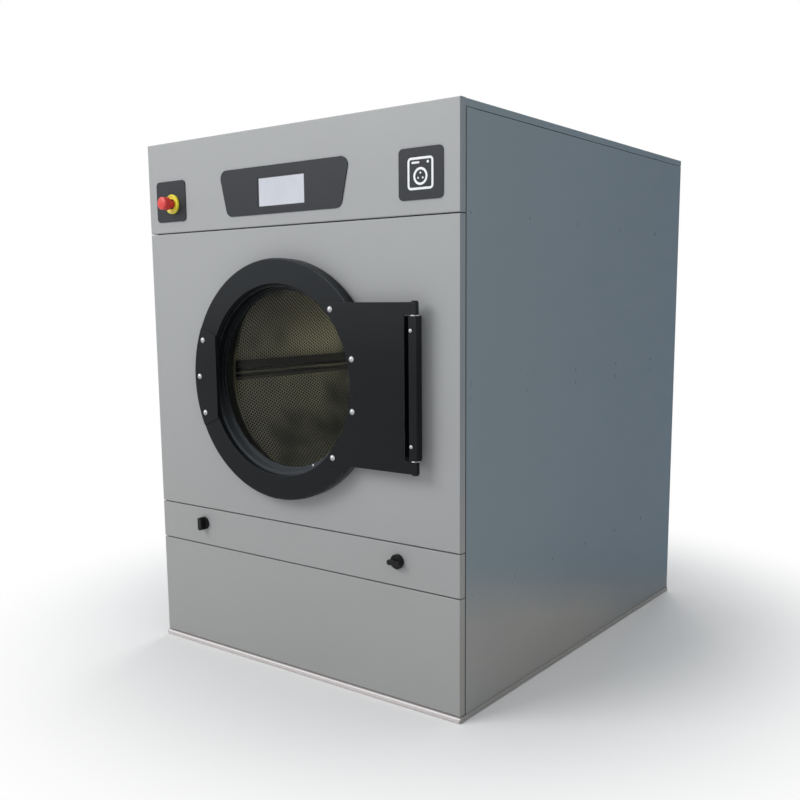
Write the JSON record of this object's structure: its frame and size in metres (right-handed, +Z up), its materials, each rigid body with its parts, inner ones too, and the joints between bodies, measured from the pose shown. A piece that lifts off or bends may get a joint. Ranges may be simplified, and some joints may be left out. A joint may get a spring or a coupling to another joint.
{
  "type": "industrial clothes dryer",
  "caption": "Front-loading industrial tumble dryer: sheet-metal cabinet, round glazed door, perforated drum, touch screen, emergency stop and pull-out lint drawer.",
  "frame": {"origin": "centre of the footprint's bounding box, on the floor", "axes": "+Z up, the front with the door faces -Y, the door's hinge is at +X"},
  "size_m": [1.22, 1.572, 1.64],
  "materials": {
    "grey_paint": "satin grey paint on steel sheet",
    "rail_paint": "pale grey paint on steel sheet",
    "side_paint": "satin metallic blue grey paint on steel sheet",
    "black_paint": "satin black powder coat",
    "bezel_plastic": "dark grey film",
    "screen_glass": "lit touch panel",
    "yellow_plastic": "yellow moulding",
    "red_plastic": "red moulding",
    "black_plastic": "black moulding",
    "white_plastic": "white nylon",
    "clear_glass": "toughened glass",
    "black_rubber": "matt rubber",
    "felt": "wool felt",
    "stainless": "brushed stainless steel",
    "bright_steel": "bright plated steel",
    "galvanised": "galvanised sheet",
    "cast_steel": "machined and painted",
    "cast_metal": "painted casting",
    "motor_aluminium": "painted die casting"
  },
  "bodies": {
    "cabinet": {"base_tray": "rail_paint", "levelling_feet": "bright_steel", "inner_frame": "galvanised", "side_panel_left": "side_paint", "side_panel_right": "side_paint", "top_lid": "side_paint", "rear_panel": "side_paint", "control_fascia": "grey_paint", "door_panel": "grey_paint", "lower_panel": "grey_paint", "display_bezel": "bezel_plastic", "touch_screen": "screen_glass", "capacity_plate": "bezel_plastic", "stop_plate": "bezel_plastic", "stop_collar": "yellow_plastic", "door_magnet": "black_plastic", "hinge_block": "black_paint", "hinge_pin": "black_paint", "hinge_washers": "white_plastic", "front_bulkhead": "galvanised", "drum_seal": "felt", "drum_casing": "galvanised", "rear_bulkhead": "galvanised", "bearing_beam": "galvanised", "bearing_housings": "cast_metal", "shaft_bearings": "bright_steel", "drive_motor": "motor_aluminium", "motor_stand": "galvanised", "drive_belt": "black_rubber", "heater_box": "galvanised", "heater_elements": "stainless", "drawer_runners": "galvanised", "fan_housing": "galvanised", "fan_motor": "motor_aluminium", "exhaust_duct": "galvanised", "exhaust_spigot": "galvanised", "terminal_box": "black_plastic", "cable_gland": "black_plastic"},
    "door": {"door_ring": "black_paint", "door_pan": "black_paint", "hinge_plate": "black_paint", "handle_plate": "black_paint", "door_glass": "clear_glass", "glass_clamp": "black_paint", "door_gasket": "black_rubber", "door_screws": "bright_steel"},
    "drum": {"drum_shell": "stainless", "drum_rear": "stainless", "drum_lifters": "stainless", "drum_spider": "cast_steel", "drum_pulley": "cast_metal"},
    "motor_rotor": {"motor_pulley": "cast_metal"},
    "fan_rotor": {"fan_impeller": "galvanised"},
    "lint_drawer": {"drawer_front": "grey_paint", "lint_tray": "galvanised", "lint_screen": "stainless"},
    "latch_left": {"latch_knob_left": "black_plastic"},
    "latch_right": {"latch_knob_right": "black_plastic"},
    "stop_slider": {"stop_stem": "red_plastic"},
    "stop_button": {"stop_head": "red_plastic"}
  },
  "joints": [
    {"name": "door_swing", "type": "hinge", "parent": "cabinet", "child": "door", "pos_m": [0.487, -0.769, 0.91], "axis": [0, 0, 1], "range_deg": [0, 165]},
    {"name": "drum_spin", "type": "hinge", "parent": "cabinet", "child": "drum", "pos_m": [-0.012, 0.4, 0.91], "axis": [0, 1, 0], "continuous": true},
    {"name": "motor_spin", "type": "hinge", "parent": "cabinet", "child": "motor_rotor", "pos_m": [0.4, 0.55, 0.232], "axis": [0, 1, 0], "continuous": true},
    {"name": "fan_spin", "type": "hinge", "parent": "cabinet", "child": "fan_rotor", "pos_m": [0, 0.086, 0.155], "axis": [1, 0, 0], "continuous": true},
    {"name": "lint_drawer_slide", "type": "slide", "parent": "cabinet", "child": "lint_drawer", "axis": [0, -1, 0], "range_m": [0, 0.52]},
    {"name": "latch_left_turn", "type": "hinge", "parent": "lint_drawer", "child": "latch_left", "pos_m": [-0.399, -0.734, 0.422], "axis": [0, 1, 0], "range_deg": [0, 90]},
    {"name": "latch_right_turn", "type": "hinge", "parent": "lint_drawer", "child": "latch_right", "pos_m": [0.399, -0.734, 0.422], "axis": [0, -1, 0], "range_deg": [0, 90]},
    {"name": "stop_push", "type": "slide", "parent": "cabinet", "child": "stop_slider", "axis": [0, 1, 0], "range_m": [0, 0.005], "stiffness_N_per_m": 900},
    {"name": "stop_twist", "type": "hinge", "parent": "stop_slider", "child": "stop_button", "pos_m": [-0.488, -0.77, 1.449], "axis": [0, 1, 0], "range_deg": [0, 45], "stiffness_Nm_per_rad": 0.15}
  ],
  "couplings": [
    {"joint": "motor_spin", "follows": "drum_spin", "ratio": 5.5556}
  ]
}
